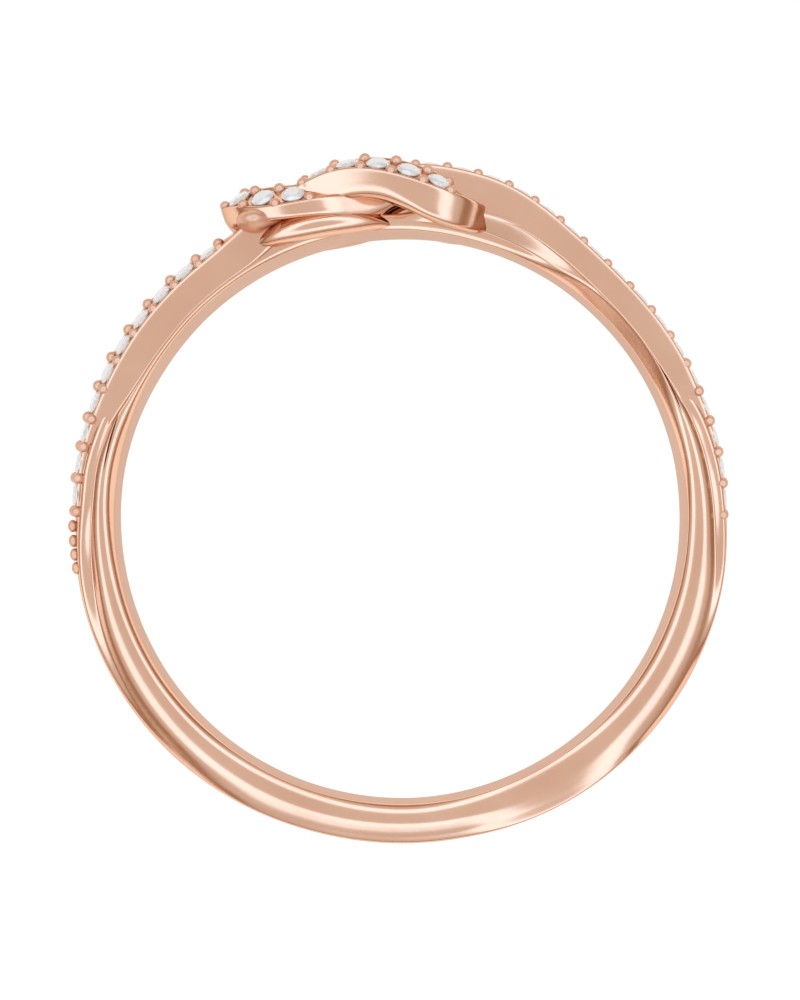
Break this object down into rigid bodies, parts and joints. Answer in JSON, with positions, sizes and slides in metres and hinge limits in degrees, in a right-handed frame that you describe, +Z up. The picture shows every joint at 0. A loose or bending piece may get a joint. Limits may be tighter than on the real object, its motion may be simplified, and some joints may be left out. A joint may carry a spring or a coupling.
{
  "type": "knot ring",
  "caption": "Finger ring with a plain domed shank that splits into two strands set with small round stones and hooks together in a knot on top.",
  "frame": {"origin": "centre of the ring's outline on the surface that it lies on", "axes": "+Z up, along the finger hole but for the ring's resting tilt; +Y towards the knot; +X to the right as seen through the hole from above"},
  "size_m": [0.02, 0.0208, 0.0046],
  "materials": {
    "rose_gold": "polished",
    "stone": "clear"
  },
  "bodies": {
    "root": {"ring_body": "rose_gold", "stones_left_near": "stone", "stones_left_far": "stone", "stones_right_near": "stone", "stones_right_far": "stone", "stones_middle_near": "stone", "stones_middle_far": "stone", "stones_bend": "stone"}
  },
  "joints": []
}
